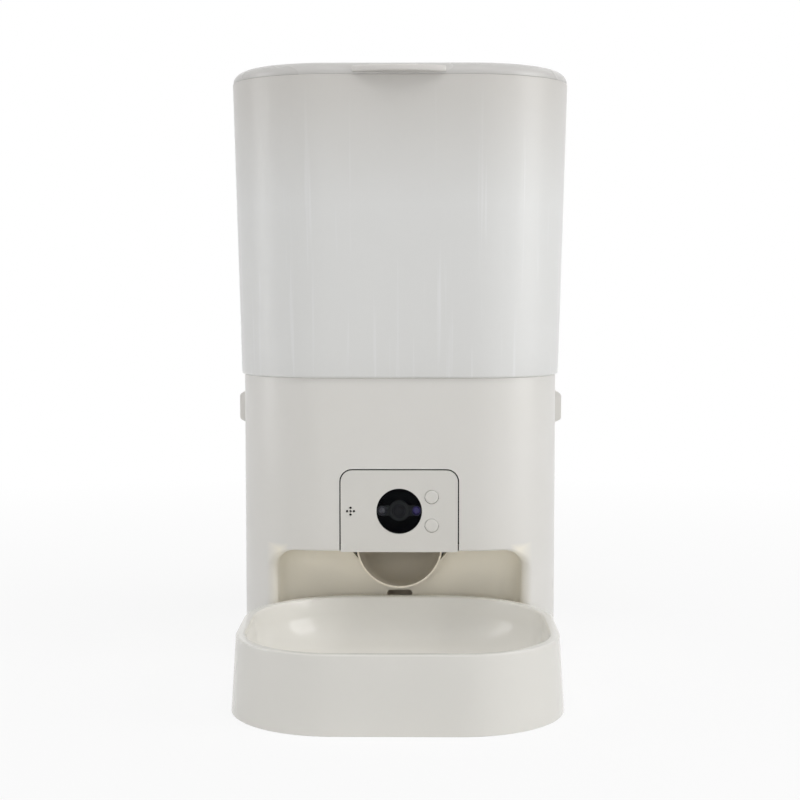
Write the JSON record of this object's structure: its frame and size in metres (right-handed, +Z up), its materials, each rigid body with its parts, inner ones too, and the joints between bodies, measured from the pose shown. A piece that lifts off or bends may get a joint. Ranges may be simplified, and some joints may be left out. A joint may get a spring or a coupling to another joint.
{
  "type": "automatic pet feeder with camera",
  "caption": "Upright automatic pet feeder: frosted lift-off hopper with lid, base with camera panel, feed rotor drive and food chute, side release buttons and a pull-out bowl",
  "frame": {"origin": "on the floor under the middle of the bounding box", "axes": "+Z up, the camera and the bowl face -Y, +X is the right side seen from the front"},
  "size_m": [0.1924, 0.3198, 0.337],
  "materials": {
    "shell": "fine moulded satin",
    "panel": "fine moulded satin",
    "hopper_clear": "frosted, lets light through",
    "lid_white": "smooth satin",
    "bowl_white": "glossy basin, satin skirt",
    "inner_white": "smooth moulded",
    "window_black": "polished",
    "black_plastic": "matt",
    "lens_glass": "polished",
    "lamp_clear": "clear lens",
    "board": "solder mask",
    "steel": "plated",
    "brass": "turned",
    "gear_plastic": "moulded",
    "soft_rubber": "matt",
    "soft_silicone": "soft matt"
  },
  "bodies": {
    "base": {"body_shell": "shell", "bottom_plate": "shell", "rubber_feet": "soft_rubber", "case_screws": "steel", "camera_panel": "panel", "camera_window": "window_black", "camera_carrier": "black_plastic", "camera_lens": "lens_glass", "infrared_lamps": "lamp_clear", "camera_board": "board", "board_screws": "steel", "button_switches": "black_plastic", "microphone": "steel", "food_chute": "inner_white", "drive_deck": "inner_white", "motor_plate": "steel", "gear_motor": "steel", "motor_screws": "steel", "shaft_bushes": "brass", "control_board": "board", "speaker": "black_plastic", "power_inlet": "black_plastic", "release_guides": "inner_white", "release_spring_left": "steel", "release_spring_right": "steel"},
    "hopper": {"hopper": "hopper_clear", "funnel": "inner_white", "outlet_guard": "inner_white"},
    "lid": {"lid": "lid_white", "lid_seal": "soft_silicone"},
    "desiccant_cover": {"desiccant_cover": "lid_white"},
    "rotor": {"feed_rotor": "soft_silicone"},
    "drive": {"drive_shaft": "steel", "drive_gear": "gear_plastic"},
    "pinion": {"drive_pinion": "brass"},
    "release_left": {"release_button_left": "shell"},
    "release_right": {"release_button_right": "shell"},
    "feed_button": {"feed_button": "panel"},
    "reset_button": {"reset_button": "panel"},
    "bowl": {"bowl": "bowl_white"}
  },
  "joints": [
    {"name": "hopper_lift", "type": "slide", "parent": "base", "child": "hopper", "axis": [0, 0, 1], "range_m": [0, 0.09]},
    {"name": "lid_lift", "type": "slide", "parent": "hopper", "child": "lid", "axis": [0, 0, 1], "range_m": [0, 0.06]},
    {"name": "desiccant_off", "type": "slide", "parent": "lid", "child": "desiccant_cover", "axis": [0, 0, -1], "range_m": [0, 0.02]},
    {"name": "rotor_spin", "type": "hinge", "parent": "hopper", "child": "rotor", "pos_m": [0, 0.06212, 0.12], "axis": [0, 0, 1], "continuous": true},
    {"name": "drive_spin", "type": "hinge", "parent": "base", "child": "drive", "pos_m": [0, 0.06212, 0.1], "axis": [0, 0, 1], "continuous": true},
    {"name": "pinion_spin", "type": "hinge", "parent": "base", "child": "pinion", "pos_m": [0, 0.08313, 0.09], "axis": [0, 0, 1], "continuous": true},
    {"name": "release_left_press", "type": "slide", "parent": "base", "child": "release_left", "axis": [1, 0, 0], "range_m": [0, 0.0036], "stiffness_N_per_m": 900, "springref_m": -0.0015, "deforming": ["release_spring_left"]},
    {"name": "release_right_press", "type": "slide", "parent": "base", "child": "release_right", "axis": [-1, 0, 0], "range_m": [0, 0.0036], "stiffness_N_per_m": 900, "springref_m": -0.0015, "deforming": ["release_spring_right"]},
    {"name": "feed_press", "type": "slide", "parent": "base", "child": "feed_button", "axis": [0, 1, 0], "range_m": [0, 0.0008], "stiffness_N_per_m": 1200, "springref_m": -0.0005},
    {"name": "reset_press", "type": "slide", "parent": "base", "child": "reset_button", "axis": [0, 1, 0], "range_m": [0, 0.0008], "stiffness_N_per_m": 1200, "springref_m": -0.0005},
    {"name": "bowl_pull", "type": "slide", "parent": "base", "child": "bowl", "axis": [0, -1, 0], "range_m": [0, 0.1]}
  ],
  "couplings": [
    {"joint": "drive_spin", "follows": "rotor_spin", "ratio": 1},
    {"joint": "pinion_spin", "follows": "rotor_spin", "ratio": -2.5}
  ]
}
